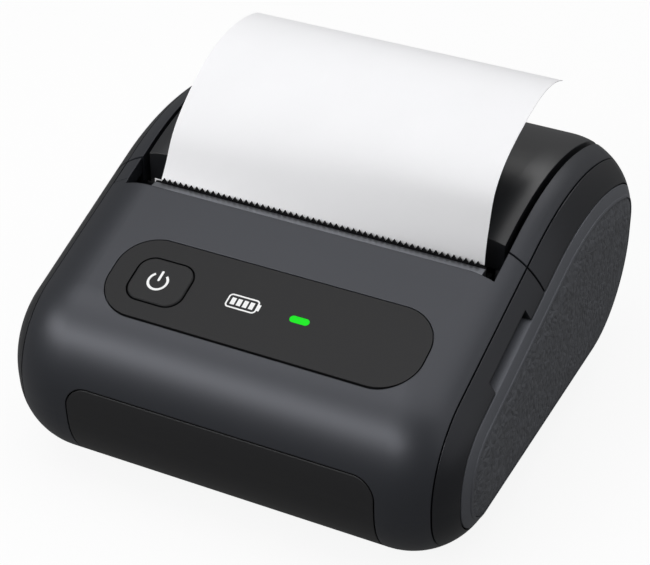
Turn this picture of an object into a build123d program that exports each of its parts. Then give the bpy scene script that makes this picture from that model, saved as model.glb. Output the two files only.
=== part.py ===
from build123d import *
import os
from math import acos, asin, atan2, cos, degrees, hypot, pi, radians, sin, sqrt, tan

os.makedirs("parts", exist_ok=True)

# Portable receipt printer for 80 mm paper, in millimetres.
# +X is the right side seen from the front, +Y the back, +Z up.
# The origin is on the table, under the middle of the case.

# case form
case_depth = 117.0
case_height = 61.0
foot_height = 1.0
front_lean = 4.5
front_bend_r = 23.0
front_bend_z = 22.774
front_foot_r = 19.5
crown_r = 68.0
crown_y = 19.153
shoulder_r = 17.5
rear_round_reserve = 2.5
rear_flat = 5.0
wall = 2.2
seam_gap = 0.3

# how the case is divided
band_width = 6.9
rail_width = 4.3
rail_gap = 1.3
split_y = -6.5
split_gap = 0.5
parting_z = 4.5
base_side_top_z = 8.0
base_side_front_reach = 1.0
base_side_rear_reach = 13.6
panel_edge_y = -14.5
rear_edge_wall = 1.2
side_panel_inset = 8.4
side_panel_gap = 0.35
ledge_width = 2.6
ledge_thickness = 1.4
inlay_inset = 11.6
inlay_thickness = 0.5
inlay_recess = 0.6
lip_width = 0.6
lip_rise = 0.15
scoop_start_y = -33.0
scoop_end_y = -14.0
scoop_width = 2.0
rail_skirt = 1.2
rail_skirt_inset = 12.0
boss_inset = 5.6
boss_r = 2.2
boss_front_y = -36.0
boss_rear_reach = 6.5
boss_rear_top_z = 19.0
boss_foot_z = 10.5
boss_floor_r = 3.3
boss_rib = 1.6

# control panel, power key and status light
panel_x = 2.35
panel_y = -37.2
panel_width = 75.0
panel_length = 21.3
panel_corner_r = 9.0
panel_thickness = 1.2
panel_recess = 1.3
panel_margin = 0.25
key_x = -23.1
key_y = -0.35
key_width = 13.3
key_length = 11.5
key_corner_r = 3.6
key_gap = 0.4
key_rise = 0.25
key_flange = 0.8
key_flange_drop = 2.5
key_stem_r = 1.2
key_stem_entry = 0.3
light_x = 10.6
light_y = 0.05
light_length = 4.6
light_width = 1.7
board_drop = 5.6
board_thickness = 1.0
key_board_width = 60.0
key_board_length = 16.0
switch_size = 5.0
switch_height = 1.6
switch_floor = 0.4
light_source_size = 2.2
light_source_height = 1.8
board_post_r = 1.3

# cover release block on the left rail
release_front_y = -13.2
release_depth = 3.4
release_gap = 0.15
release_stem_r = 1.3
release_stem_low_z = 42.6
release_shelf_z = 44.2
release_shelf = 1.2

# battery door and battery
door_x = 1.15
door_width = 73.9
door_top_z = 27.9
door_corner_r = 5.0
door_rear_y = -38.0
door_gap = 0.35
bay_wall = 1.2
bay_side_gap = 0.7
bay_front_y = -45.8
bay_rear_y = -25.7
bay_floor_z = 4.0
bay_top_z = 27.0
battery_width = 68.0
battery_height = 19.6
battery_clearance = 0.25
battery_edge_r = 3.0
contact_width = 2.0
contact_pitch = 10.0
contact_thickness = 0.4

# paper, roll and bin
paper_width = 79.5
paper_thickness = 0.12
roll_r = 21.8
core_r = 8.0
core_bore_r = 5.5
bin_y = 22.5
bin_z = 35.8
bin_r = 23.8
bin_wall = 1.2
bin_side_gap = 0.75
bin_side_wall = 1.0
bin_front_z = 24.5
bin_rear_z = 33.0
bin_side_front_y = -0.9
bin_side_rear_y = 47.0
bin_leg_front_y = 6.0
bin_leg_rear_y = 29.0
bin_sweep_gap = 0.6
bin_wall_inset = 8.0
roll_lift = 0.3
inner_foot_z = 3.6

# platen, head and tear bar
platen_y = -5.35
platen_z = 43.6
platen_r = 5.2
platen_overhang = 0.5
shaft_r = 2.0
shaft_running = 0.04
shaft_end_gap = 0.4
bush_r = 3.0
bush_length = 1.2
bush_step = 0.1
nip_gap = 0.15
head_thickness = 1.0
head_low_z = 39.0
head_top_z = 49.0
head_side = 0.6
sink_thickness = 3.0
sink_low_z = 36.0
sink_fin_depth = 1.2
sink_fin_pitch = 4.0
sink_fin_count = 19
tear_x = 1.7
tear_z = 53.9
tear_clearance = 0.55
blade_thickness = 0.5
blade_low_z = 49.5
blade_overhang = 0.85
tooth_pitch = 1.4
tooth_height = 1.1
bar_drop = 0.15
bar_thickness = 0.9
bar_post = 1.3
sensor_x = 12.0
sensor_size = (5.0, 2.6, 3.0)

# drive train
gear_module = 0.5
platen_teeth = 20
idler_teeth = 28
pinion_teeth = 12
gear_thickness = 1.6
gear_backlash = 0.16
gear_spread = 0.05
pressure_angle = 20.0
pinion_angle = 225.0
idler_pin_r = 1.5
motor_r = 7.5
motor_length = 15.0
motor_shaft_r = 0.75
motor_shaft_length = 10.9
motor_boss_r = 3.0
motor_boss_height = 0.6

# mechanism frame
frame_side_gap = 1.15
frame_thickness = 1.0
frame_front_y = -20.0
frame_rear_y = -1.3
frame_top_z = 49.4
frame_wall_y = -18.0
frame_wall_low_z = 38.0
frame_window_low_z = 10.0
frame_window_top_z = 15.5
frame_window_margin = 4.0
spring_x = 22.0
spring_width = 8.0
spring_thickness = 0.4

# paper cover and hinge
cover_wall = 2.0
cover_front_y = -5.6
cover_lip_low_z = 50.0
cover_lip_wall = 1.6
cover_skirt_gap = 0.3
cover_skirt = 0.9
cover_overhang = 0.9
cover_skirt_inset = 9.0
liner_front_y = -2.5
liner_inset = 3.4
liner_thickness = 1.2
liner_side_gap = 0.2
arm_r = 3.6
hinge_angle = -12.0
hinge_barrel_r = 4.0
hinge_pin_r = 1.25
hinge_pin_reach = 2.1
hinge_running = 0.04
hinge_bore_end_gap = 0.2
barrel_end_gap = 0.1
knuckle_length = 3.7
hinge_sweep_r = 5.7

# electronics
main_board_z = 6.4
main_board_thickness = 1.6
main_board_side_gap = 1.4
main_board_front_y = -23.5
main_board_rear_reach = 12.6
post_inset_x = 5.5
post_inset_y = 9.0
post_r = 2.5
chip_size = (12.0, 12.0, 1.4)
chip_x = 10.0
chip_y = 10.0
usb_x = -20.0
usb_width = 9.0
usb_height = 3.2
usb_depth = 7.4
usb_wall = 0.3
usb_tongue_share = 0.7
usb_margin = 0.35
usb_overlap = 1.0

# feet and screws
foot_x = 33.0
foot_front_y = -30.0
foot_rear_y = 21.0
foot_r = 5.0
foot_recess = 0.5
screw_head_r = 2.0
screw_head_height = 1.4
screw_shank_r = 1.0
screw_slot = 0.5
screw_seat_z = 6.0
screw_top_z = 16.0

# receipt, as lengths back and up from the tear line at its left and right edges
receipt_left = [(0, 0), (2.6, 3.6), (5.4, 8.3), (10.5, 13.3), (17, 17.6), (25.5, 21.4), (36.5, 22.8)]
receipt_left += [(47.5, 20.8)]
receipt_right = [(0, 0), (0.4, 4.2), (1.7, 9.8), (3.6, 15.4), (8.2, 20.0), (17, 23.8), (29.5, 26.6)]
receipt_right += [(42.3, 24.0)]

# from the paper outwards to the side of the case
paper_half = paper_width / 2
bin_inner_x = paper_half + bin_side_gap
bin_outer_x = bin_inner_x + bin_side_wall
frame_inner_x = paper_half + frame_side_gap
frame_outer_x = frame_inner_x + frame_thickness
cover_skirt_x = frame_outer_x + cover_skirt_gap
cover_half_width = cover_skirt_x + cover_skirt + cover_overhang
rail_inner_x = cover_half_width + rail_gap
band_seam_x = rail_inner_x + rail_width
half_width = band_seam_x + band_width
boss_x = band_seam_x - boss_inset
shaft_end_x = rail_inner_x - shaft_end_gap
barrel_half = cover_half_width - barrel_end_gap
hinge_pin_half = rail_inner_x + hinge_pin_reach
hinge_bore_half = hinge_pin_half + hinge_bore_end_gap
main_board_half_width = frame_inner_x - main_board_side_gap
post_x = main_board_half_width - post_inset_x
blade_half_width = paper_half + blade_overhang
motor_shaft_end_x = motor_shaft_length - shaft_end_x
bay_half = door_width / 2 + bay_side_gap

# side outline of the case, worked out from its driving sizes
base_z = foot_height
crest_z = base_z + case_height
front_y = -case_depth / 2
crown_centre = (crown_y, crest_z - crown_r)
bend_centre = (front_y + front_bend_r, front_bend_z)
round_span = hypot(crown_centre[0] - bend_centre[0], crown_centre[1] - bend_centre[1])
round_rise = atan2(crown_centre[1] - bend_centre[1], crown_centre[0] - bend_centre[0])
ramp_angle = degrees(round_rise + asin((crown_r - front_bend_r) / round_span))
ramp_normal = (-sin(radians(ramp_angle)), cos(radians(ramp_angle)))
ramp_reach = ramp_normal[0] * crown_centre[0] + ramp_normal[1] * crown_centre[1] + crown_r
front_normal = (-cos(radians(front_lean)), -sin(radians(front_lean)))
front_reach = front_normal[0] * bend_centre[0] + front_normal[1] * bend_centre[1] + front_bend_r
foot_z = base_z + front_foot_r
foot_centre = ((front_reach - front_foot_r - front_normal[1] * foot_z) / front_normal[0], foot_z)
rear_round_r = shoulder_r + rear_round_reserve
rear_run = case_depth / 2 - rear_round_r - crown_y
rear_rise = sqrt((crown_r - rear_round_r) ** 2 - rear_run**2)
rear_centre = (crown_y + rear_run, crown_centre[1] + rear_rise)
rear_angle = degrees(atan2(rear_rise, rear_run))
heel_r = rear_centre[1] - base_z - rear_flat
heel_centre = (case_depth / 2 - heel_r, base_z + heel_r)
base_side_front_y = foot_centre[0] - base_side_front_reach
base_side_rear_y = heel_centre[0] + base_side_rear_reach
boss_rear_y = heel_centre[0] + boss_rear_reach
main_board_rear_y = heel_centre[0] + main_board_rear_reach
post_front_y = main_board_front_y + post_inset_y
post_rear_y = main_board_rear_y - post_inset_y
usb_front_y = main_board_rear_y - usb_overlap


def ramp_z(y):
    """Height of the sloping top surface over a place y."""
    return (ramp_reach - ramp_normal[0] * y) / ramp_normal[1]


def ramp_plane(y, drop=0.0):
    """Plane in the sloping top, drop below its surface, with its own y up the slope."""
    place = Plane((0, y, ramp_z(y)), x_dir=(1, 0, 0), z_dir=(0, *ramp_normal))
    return place.offset(-drop)


def draw_outline(inset):
    """Face of the side outline drawn in by inset, in the sketch that is open."""
    with BuildLine() as side:
        bend = CenterArc(bend_centre, front_bend_r - inset, 90 + ramp_angle, 90 + front_lean - ramp_angle)
        foot = CenterArc(foot_centre, front_foot_r - inset, 180 + front_lean, 90 - front_lean)
        heel = CenterArc(heel_centre, heel_r - inset, 270, 90)
        back = CenterArc(rear_centre, rear_round_r - inset, 0, rear_angle)
        crown = CenterArc(crown_centre, crown_r - inset, rear_angle, 90 + ramp_angle - rear_angle)
        Line(bend @ 1, foot @ 0)
        Line(foot @ 1, heel @ 0)
        Line(heel @ 1, back @ 0)
        Line(crown @ 1, bend @ 0)
    make_face(side.edges())


def case_form(inset):
    """Solid of the whole case drawn in by inset, with its rounded shoulders."""
    with BuildPart() as form:
        with BuildSketch(Plane.YZ):
            draw_outline(inset)
        extrude(amount=half_width - inset, both=True)
        sides = form.edges().group_by(Axis.X)
        fillet(sides[0] + sides[-1], shoulder_r - inset)
    return form.part


def box_between(low, high, mode=Mode.ADD):
    """Box from its lowest to its highest corner."""
    middle = [(a + b) / 2 for a, b in zip(low, high)]
    with Locations(tuple(middle)):
        Box(*[b - a for a, b in zip(low, high)], mode=mode)


def rod(x_low, x_high, y, z, r, mode=Mode.ADD):
    """Round bar along X."""
    with Locations(Location(((x_low + x_high) / 2, y, z), (0, 90, 0))):
        Cylinder(r, x_high - x_low, mode=mode)


outer_form = case_form(0)
inner_form = case_form(wall)
boss_form = case_form(wall / 2)
full_shell = outer_form - inner_form

# hinge, platen and gear centres
hinge_reach = heel_r - hinge_barrel_r
outward = (cos(radians(hinge_angle)), sin(radians(hinge_angle)))
hinge_y = heel_centre[0] + hinge_reach * outward[0]
hinge_z = heel_centre[1] + hinge_reach * outward[1]
platen_reach = hypot(platen_z - hinge_z, platen_y - hinge_y)
platen_angle = degrees(atan2(platen_z - hinge_z, platen_y - hinge_y))
idler_angle = platen_angle + 90
idler_distance = gear_module * (platen_teeth + idler_teeth) / 2 + gear_spread
pinion_distance = gear_module * (idler_teeth + pinion_teeth) / 2 + gear_spread
idler_y = platen_y + idler_distance * cos(radians(idler_angle))
idler_z = platen_z + idler_distance * sin(radians(idler_angle))
motor_y = idler_y + pinion_distance * cos(radians(pinion_angle))
motor_z = idler_z + pinion_distance * sin(radians(pinion_angle))
idler_phase = idler_angle + 180 + 180 / idler_teeth
idler_lead = (pinion_angle - idler_phase) % (360 / idler_teeth)
pinion_phase = pinion_angle + 180 + (idler_lead * idler_teeth + 180) / pinion_teeth
gear_high_x = -shaft_end_x + gear_thickness

# planes and edges that several pieces share
shell_side_x = band_seam_x - seam_gap / 2
band_side_x = band_seam_x + seam_gap / 2
front_part_end_y = split_y - split_gap / 2
rear_part_start_y = split_y + split_gap / 2
head_face_y = platen_y - platen_r - nip_gap
head_front_y = head_face_y - head_thickness
sink_front_y = head_front_y - sink_thickness
web_y = head_face_y + nip_gap / 2
blade_rear_y = head_face_y - tear_clearance
blade_front_y = blade_rear_y - blade_thickness
bar_front_y = panel_edge_y + seam_gap
key_board_x = (key_x + light_x) / 2
roll_z = bin_z - bin_r + roll_r + roll_lift
board_top_z = main_board_z + main_board_thickness
far = 2 * case_depth


def side_block(x_low, x_high, points, mode=Mode.ADD):
    """Plate from x_low to x_high with straight sides through points in Y and Z."""
    with BuildSketch(Plane.YZ.offset(x_low)) as block:
        Polygon(*points, align=None)
    extrude(block.sketch, amount=x_high - x_low, mode=mode)


def outline_prism(inset, x_low, x_high):
    """Solid of one side outline, from x_low to x_high."""
    with BuildPart() as prism:
        with BuildSketch(Plane.YZ.offset(x_low)):
            draw_outline(inset)
        extrude(amount=x_high - x_low)
    return prism.part


def ring_prism(outer_inset, inner_inset, x_low, x_high):
    """Band between two side outlines, from x_low to x_high."""
    return outline_prism(outer_inset, x_low, x_high) - outline_prism(inner_inset, x_low, x_high)


def cover_block(front, half):
    """Everything above the paper opening, from a front plane back to the hinge."""
    corner = (hinge_y + far * outward[0], hinge_z + far * outward[1])
    points = [(front, cover_lip_low_z), (front, far), (far, far), corner, (hinge_y, hinge_z)]
    points += [(hinge_y - hinge_reach, hinge_z), (hinge_y - hinge_reach, cover_lip_low_z)]
    with BuildPart() as block:
        side_block(-half, half, points)
    return block.part


def door_block(margin):
    """Block through the front wall and the floor at the battery door, larger by margin."""
    width = door_width + 2 * margin
    with BuildPart() as block:
        with BuildSketch(Plane.XZ.offset(-door_rear_y - margin)):
            with Locations((door_x, door_top_z + margin)):
                RectangleRounded(width, width, door_corner_r + margin, align=(Align.CENTER, Align.MAX))
        extrude(amount=case_depth)
    return block.part


def slope_block(low_depth, high_depth, draw, mode=Mode.ADD):
    """Block square to the sloping top between two depths below it, from a drawn sketch."""
    with BuildSketch(ramp_plane(panel_y, low_depth)) as block:
        draw()
    extrude(block.sketch, amount=low_depth - high_depth, mode=mode)


def draw_key(margin=0.0):
    with Locations((key_x, key_y)):
        RectangleRounded(key_width + 2 * margin, key_length + 2 * margin, key_corner_r + margin)


def draw_key_hole():
    draw_key(key_gap)


def draw_key_flange():
    draw_key(key_flange)


def draw_key_stem():
    with Locations((key_x, key_y)):
        Circle(key_stem_r)


def draw_switch():
    with Locations((key_x, key_y)):
        Rectangle(switch_size, switch_size)


def draw_switch_well():
    with Locations((key_x, key_y)):
        Circle(key_stem_r + panel_margin)


def draw_light():
    with Locations((light_x, light_y)):
        SlotOverall(light_length, light_width)


def draw_light_hole():
    with Locations((light_x, light_y)):
        SlotOverall(light_length + 2 * shaft_running, light_width + 2 * shaft_running)


def draw_light_source():
    with Locations((light_x, light_y)):
        Rectangle(light_source_size, light_source_size)


def draw_panel(margin=0.0):
    with Locations((panel_x, 0)):
        RectangleRounded(panel_width + 2 * margin, panel_length + 2 * margin, panel_corner_r + margin)


def draw_panel_recess():
    draw_panel(panel_margin)


def draw_key_board():
    with Locations((key_board_x, 0)):
        Rectangle(key_board_width, key_board_length)


def draw_board_posts():
    with Locations((key_board_x, 0)):
        with GridLocations(key_board_width - 3 * board_post_r, key_board_length - 3 * board_post_r, 2, 2):
            Circle(board_post_r)


def upright(x, y, z_low, z_high, r, mode=Mode.ADD):
    """Round bar along Z."""
    with Locations((x, y, (z_low + z_high) / 2)):
        Cylinder(r, z_high - z_low, mode=mode)


def case_inside(x_low, x_high, y_low, y_high, z_low, z_high):
    """Box drawn back to the middle of the case wall where it would pass through it."""
    with BuildPart() as block:
        box_between((x_low, y_low, z_low), (x_high, y_high, z_high))
        add(boss_form, mode=Mode.INTERSECT)
    return block.part


def case_column(x, y, z_low, r):
    """Round column along Z that reaches up into the case wall."""
    with BuildPart() as column:
        upright(x, y, z_low, crest_z, r)
        add(boss_form, mode=Mode.INTERSECT)
    return column.part


def hinge_knuckle(x_low, x_high):
    """Boss round the hinge pin inside the case wall."""
    with BuildPart() as knuckle:
        rod(x_low, x_high, hinge_y, hinge_z, hinge_barrel_r + wall / 4)
        add(boss_form, mode=Mode.INTERSECT)
    return knuckle.part


def rail_skirt_plate(x_low, y_low, y_high):
    """Upright inner wall of a side rail, under its rounded top."""
    with BuildPart() as plate:
        add(ring_prism(wall / 2, rail_skirt_inset, x_low, x_low + rail_skirt))
        box_between((x_low, y_low, hinge_z), (x_low + rail_skirt, y_high, far), mode=Mode.INTERSECT)
        add(boss_form, mode=Mode.INTERSECT)
    return plate.part


def gear(teeth, phase, y, z, bore_r):
    """Spur gear on the left side with one tooth's middle at the phase angle."""
    pitch_r = gear_module * teeth / 2
    base_r = pitch_r * cos(radians(pressure_angle))
    tip_r = pitch_r + gear_module
    root_r = pitch_r - 1.25 * gear_module
    pitch_lead = tan(radians(pressure_angle)) - radians(pressure_angle)
    half_tooth = (pi * gear_module / 2 - gear_backlash) / (2 * pitch_r) + pitch_lead
    flank = []
    low_r = max(base_r, root_r)
    for step in range(4):
        r = low_r + (tip_r - low_r) * step / 3
        turn = acos(base_r / r)
        flank.append((r, half_tooth - (tan(turn) - turn)))
    flank.insert(0, (root_r, flank[0][1]))
    points = []
    for tooth in range(teeth):
        middle = radians(phase) + 2 * pi * tooth / teeth
        points += [(r * cos(middle - lead), r * sin(middle - lead)) for r, lead in flank]
        points += [(r * cos(middle + lead), r * sin(middle + lead)) for r, lead in reversed(flank)]
    with BuildPart() as wheel:
        side_block(-shaft_end_x, gear_high_x, [(y + a, z + b) for a, b in points])
        rod(-shaft_end_x, gear_high_x, y, z, bore_r, mode=Mode.SUBTRACT)
    return wheel.part


def base_block(margin):
    """Block under the parting line of the case, which is higher along the sides."""
    with BuildPart() as block:
        box_between((-far, -far, 0), (far, far, parting_z + margin))
        box_between(
            (-far, base_side_front_y - margin, 0),
            (far, base_side_rear_y + margin, base_side_top_z + margin),
        )
    return block.part


# case shells

with BuildPart() as base_case:
    add(full_shell)
    box_between((-shell_side_x, -far, 0), (shell_side_x, far, far), mode=Mode.INTERSECT)
    add(base_block(-seam_gap / 2), mode=Mode.INTERSECT)
    add(door_block(door_gap), mode=Mode.SUBTRACT)
    for x in (-boss_x, boss_x):
        for y in (boss_front_y, boss_rear_y):
            upright(x, y, base_z + wall, boss_foot_z - seam_gap, boss_floor_r)
            upright(x, y, 0, screw_seat_z, screw_head_r + seam_gap, mode=Mode.SUBTRACT)
            upright(x, y, 0, far, screw_shank_r + seam_gap / 2, mode=Mode.SUBTRACT)
    bay_low_z = base_z + wall / 2
    bay_left_x = door_x - bay_half
    bay_right_x = door_x + bay_half
    bay_outer_y = bay_rear_y + bay_wall
    add(case_inside(bay_left_x - bay_wall, bay_left_x, bay_front_y, bay_outer_y, bay_low_z, bay_top_z))
    add(case_inside(bay_right_x, bay_right_x + bay_wall, bay_front_y, bay_outer_y, bay_low_z, bay_top_z))
    rear_wall = (bay_left_x - bay_wall, bay_right_x + bay_wall, bay_rear_y, bay_outer_y)
    add(case_inside(*rear_wall, bay_low_z, bay_top_z))
    floor_start = (bay_left_x, door_rear_y + door_gap, bay_floor_z)
    box_between(floor_start, (bay_right_x, bay_rear_y, bay_floor_z + bay_wall))
    for x in (-post_x, post_x):
        for y in (post_front_y, post_rear_y):
            upright(x, y, base_z + wall / 2, main_board_z, post_r)
    for x in (-foot_x, foot_x):
        for y in (foot_front_y, foot_rear_y):
            upright(x, y, 0, base_z + foot_recess, foot_r + seam_gap / 2, mode=Mode.SUBTRACT)
base_case.part.label = "base_case"
export_step(base_case.part, "parts/base_case.step")

with BuildPart() as top_shell:
    add(full_shell)
    box_between((-shell_side_x, -far, 0), (shell_side_x, front_part_end_y, far), mode=Mode.INTERSECT)
    add(base_block(seam_gap / 2), mode=Mode.SUBTRACT)
    box_between((-rail_inner_x, panel_edge_y, hinge_z), (rail_inner_x, split_y, far), mode=Mode.SUBTRACT)
    edge_front_y = panel_edge_y - rear_edge_wall
    add(case_inside(-rail_inner_x, rail_inner_x, edge_front_y, panel_edge_y, cover_lip_low_z, far))
    add(rail_skirt_plate(rail_inner_x, edge_front_y, front_part_end_y))
    add(rail_skirt_plate(-rail_inner_x - rail_skirt, edge_front_y, front_part_end_y))
    shelf_top_z = release_shelf_z + release_shelf
    box_between((-shell_side_x, release_front_y, shelf_top_z), (-rail_inner_x, split_y, far), mode=Mode.SUBTRACT)
    box_between((-shell_side_x, edge_front_y, release_shelf_z), (-rail_inner_x, front_part_end_y, shelf_top_z))
    release_x = -(shell_side_x + rail_inner_x) / 2
    release_y = (release_front_y + front_part_end_y) / 2
    upright(release_x, release_y, 0, shelf_top_z, release_stem_r + shaft_running, mode=Mode.SUBTRACT)
    for x in (-boss_x, boss_x):
        add(case_column(x, boss_front_y, boss_foot_z, boss_r))
        upright(x, boss_front_y, boss_foot_z, screw_top_z, screw_shank_r, mode=Mode.SUBTRACT)
    add(door_block(door_gap), mode=Mode.SUBTRACT)
    slope_block(board_drop, wall / 2 + panel_recess / 2, draw_board_posts)
    slope_block(panel_recess, -wall, draw_panel_recess, mode=Mode.SUBTRACT)
    slope_block(2 * wall, -wall, draw_key_hole, mode=Mode.SUBTRACT)
    slope_block(2 * wall, -wall, draw_light_hole, mode=Mode.SUBTRACT)
top_shell.part.label = "top_shell"
export_step(top_shell.part, "parts/top_shell.step")

with BuildPart() as rear_shell:
    add(full_shell)
    box_between((-shell_side_x, rear_part_start_y, 0), (shell_side_x, far, far), mode=Mode.INTERSECT)
    add(base_block(seam_gap / 2), mode=Mode.SUBTRACT)
    add(cover_block(-far, rail_inner_x), mode=Mode.SUBTRACT)
    rod(-rail_inner_x, rail_inner_x, hinge_y, hinge_z, hinge_sweep_r, mode=Mode.SUBTRACT)
    for x in (-rail_inner_x - rail_skirt, rail_inner_x):
        add(rail_skirt_plate(x, rear_part_start_y, far))
    for x in (-rail_inner_x - knuckle_length, rail_inner_x):
        add(hinge_knuckle(x, x + knuckle_length))
    rod(-hinge_bore_half, hinge_bore_half, hinge_y, hinge_z, hinge_pin_r + hinge_running, mode=Mode.SUBTRACT)
    for x in (-boss_x, boss_x):
        upright(x, boss_rear_y, boss_foot_z, boss_rear_top_z, boss_r)
        rib_x = (x - boss_rib / 2, x + boss_rib / 2)
        add(case_inside(*rib_x, boss_rear_y, far, boss_foot_z, boss_rear_top_z))
        upright(x, boss_rear_y, boss_foot_z, screw_top_z, screw_shank_r, mode=Mode.SUBTRACT)
    usb_middle_z = board_top_z + usb_height / 2
    with Locations((usb_x, far / 2, usb_middle_z)):
        Box(usb_width + 2 * usb_margin, far, usb_height + 2 * usb_margin, mode=Mode.SUBTRACT)
rear_shell.part.label = "rear_shell"
export_step(rear_shell.part, "parts/rear_shell.step")

# outer bands, side panels and their inlays


def side_range(side, x_near, x_far):
    """Low and high X of a layer on one side of the case."""
    return sorted((side * x_near, side * x_far))


def band(side, y_low, y_high):
    """One half of the band round a side panel, with a ledge behind the panel."""
    x_low, x_high = side_range(side, band_side_x, far)
    ledge_range = side_range(side, band_side_x + seam_gap / 2, band_side_x + seam_gap / 2 + ledge_thickness)
    with BuildPart() as half:
        add(full_shell - outline_prism(side_panel_inset, x_low, x_high))
        add(ring_prism(side_panel_inset - ledge_width, side_panel_inset + ledge_width, *ledge_range))
        box_between((x_low, y_low, 0), (x_high, y_high, far), mode=Mode.INTERSECT)
        add(outer_form, mode=Mode.INTERSECT)
    return half.part


inlay_floor_form = case_form(inlay_recess)
inlay_top_form = case_form(inlay_recess - inlay_thickness)
lip_form = case_form(-lip_rise)


def side_panel(side):
    """Side panel with a recess for its inlay and a small raised lip round the recess."""
    x_range = side_range(side, band_side_x + seam_gap / 2 + ledge_thickness, far)
    with BuildPart() as panel:
        add(full_shell & outline_prism(side_panel_inset + side_panel_gap, *x_range))
        add((lip_form - inlay_floor_form) & ring_prism(inlay_inset - lip_width, inlay_inset, *x_range))
        add(outline_prism(inlay_inset, *x_range) - inlay_floor_form, mode=Mode.SUBTRACT)
    return panel.part


def side_inlay(side):
    """Textured sheet that lies in a side panel's recess and follows the case's shoulders."""
    x_range = side_range(side, band_side_x + seam_gap / 2 + ledge_thickness, far)
    return (inlay_top_form - inlay_floor_form) & outline_prism(inlay_inset + seam_gap / 2, *x_range)


with BuildPart() as band_front_left:
    add(band(-1, -far, front_part_end_y))
band_front_left.part.label = "band_front_left"
export_step(band_front_left.part, "parts/band_front_left.step")

scoop_floor_x = band_side_x + seam_gap / 2 + ledge_thickness
with BuildPart() as scoop_limits:
    box_between((scoop_floor_x, scoop_start_y, panel_width / 2), (far, scoop_end_y, far))

with BuildPart() as band_front_right:
    add(band(1, -far, front_part_end_y))
    scoop = ring_prism(side_panel_inset - scoop_width, side_panel_inset + side_panel_gap, band_side_x, far)
    add(scoop & scoop_limits.part, mode=Mode.SUBTRACT)
band_front_right.part.label = "band_front_right"
export_step(band_front_right.part, "parts/band_front_right.step")

with BuildPart() as band_rear_left:
    add(band(-1, rear_part_start_y, far))
band_rear_left.part.label = "band_rear_left"
export_step(band_rear_left.part, "parts/band_rear_left.step")

with BuildPart() as band_rear_right:
    add(band(1, rear_part_start_y, far))
band_rear_right.part.label = "band_rear_right"
export_step(band_rear_right.part, "parts/band_rear_right.step")

with BuildPart() as side_panel_left:
    add(side_panel(-1))
side_panel_left.part.label = "side_panel_left"
export_step(side_panel_left.part, "parts/side_panel_left.step")

with BuildPart() as side_panel_right:
    add(side_panel(1))
side_panel_right.part.label = "side_panel_right"
export_step(side_panel_right.part, "parts/side_panel_right.step")

with BuildPart() as side_inlay_left:
    add(side_inlay(-1))
side_inlay_left.part.label = "side_inlay_left"
export_step(side_inlay_left.part, "parts/side_inlay_left.step")

with BuildPart() as side_inlay_right:
    add(side_inlay(1))
side_inlay_right.part.label = "side_inlay_right"
export_step(side_inlay_right.part, "parts/side_inlay_right.step")


# control panel, power key and cover release

with BuildPart() as control_panel:
    slope_block(panel_thickness, 0, draw_panel)
    slope_block(2 * wall, -wall, draw_key_hole, mode=Mode.SUBTRACT)
    slope_block(2 * wall, -wall, draw_light_hole, mode=Mode.SUBTRACT)
control_panel.part.label = "control_panel"
export_step(control_panel.part, "parts/control_panel.step")

with BuildPart() as light_lens:
    slope_block(wall + panel_margin, 0, draw_light)
light_lens.part.label = "light_lens"
export_step(light_lens.part, "parts/light_lens.step")

with BuildPart() as power_button:
    slope_block(key_flange_drop, -key_rise, draw_key)
    slope_block(key_flange_drop + key_flange, key_flange_drop, draw_key_flange)
    slope_block(board_drop - switch_height + key_stem_entry, key_flange_drop, draw_key_stem)
    top_edges = power_button.faces().sort_by(Axis((0, 0, 0), (0, *ramp_normal)))[-1].edges()
    chamfer(top_edges, key_rise)
power_button.part.label = "power_button"
export_step(power_button.part, "parts/power_button.step")

with BuildPart() as power_switch:
    slope_block(board_drop, board_drop - switch_height, draw_switch)
    slope_block(board_drop - switch_floor, 0, draw_switch_well, mode=Mode.SUBTRACT)
power_switch.part.label = "power_switch"
export_step(power_switch.part, "parts/power_switch.step")

with BuildPart() as light_source:
    slope_block(board_drop, board_drop - light_source_height, draw_light_source)
light_source.part.label = "light_source"
export_step(light_source.part, "parts/light_source.step")

with BuildPart() as key_board:
    slope_block(board_drop + board_thickness, board_drop, draw_key_board)
key_board.part.label = "key_board"
export_step(key_board.part, "parts/key_board.step")

release_block_form = case_form(release_depth)

with BuildPart() as cover_release:
    add(outer_form - release_block_form)
    box_between(
        (-shell_side_x + release_gap, release_front_y + release_gap, hinge_z),
        (-rail_inner_x - release_gap, front_part_end_y - release_gap, far),
        mode=Mode.INTERSECT,
    )
    upright(release_x, release_y, release_stem_low_z, crest_z, release_stem_r)
    add(outer_form, mode=Mode.INTERSECT)
cover_release.part.label = "cover_release"
export_step(cover_release.part, "parts/cover_release.step")

# battery, its door and the boards

with BuildPart() as battery_door:
    add(full_shell)
    add(door_block(0), mode=Mode.INTERSECT)
battery_door.part.label = "battery_door"
export_step(battery_door.part, "parts/battery_door.step")

battery_low_z = bay_floor_z + bay_wall + battery_clearance
battery_rear_y = bay_rear_y - 2 * battery_clearance

with BuildPart() as battery_pack:
    half_battery = battery_width / 2
    box_between(
        (door_x - half_battery, bay_front_y, battery_low_z),
        (door_x + half_battery, battery_rear_y, battery_low_z + battery_height),
    )
    fillet(battery_pack.edges().filter_by(Axis.X), battery_edge_r)
battery_pack.part.label = "battery_pack"
export_step(battery_pack.part, "parts/battery_pack.step")

with BuildPart() as battery_contacts:
    for x in (door_x - contact_pitch, door_x, door_x + contact_pitch):
        contact_rear_y = bay_rear_y - (battery_clearance - contact_thickness / 2)
        box_between(
            (x - contact_width / 2, contact_rear_y - contact_thickness, battery_low_z + battery_edge_r),
            (x + contact_width / 2, contact_rear_y, battery_low_z + battery_height - battery_edge_r),
        )
battery_contacts.part.label = "battery_contacts"
export_step(battery_contacts.part, "parts/battery_contacts.step")

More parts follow.
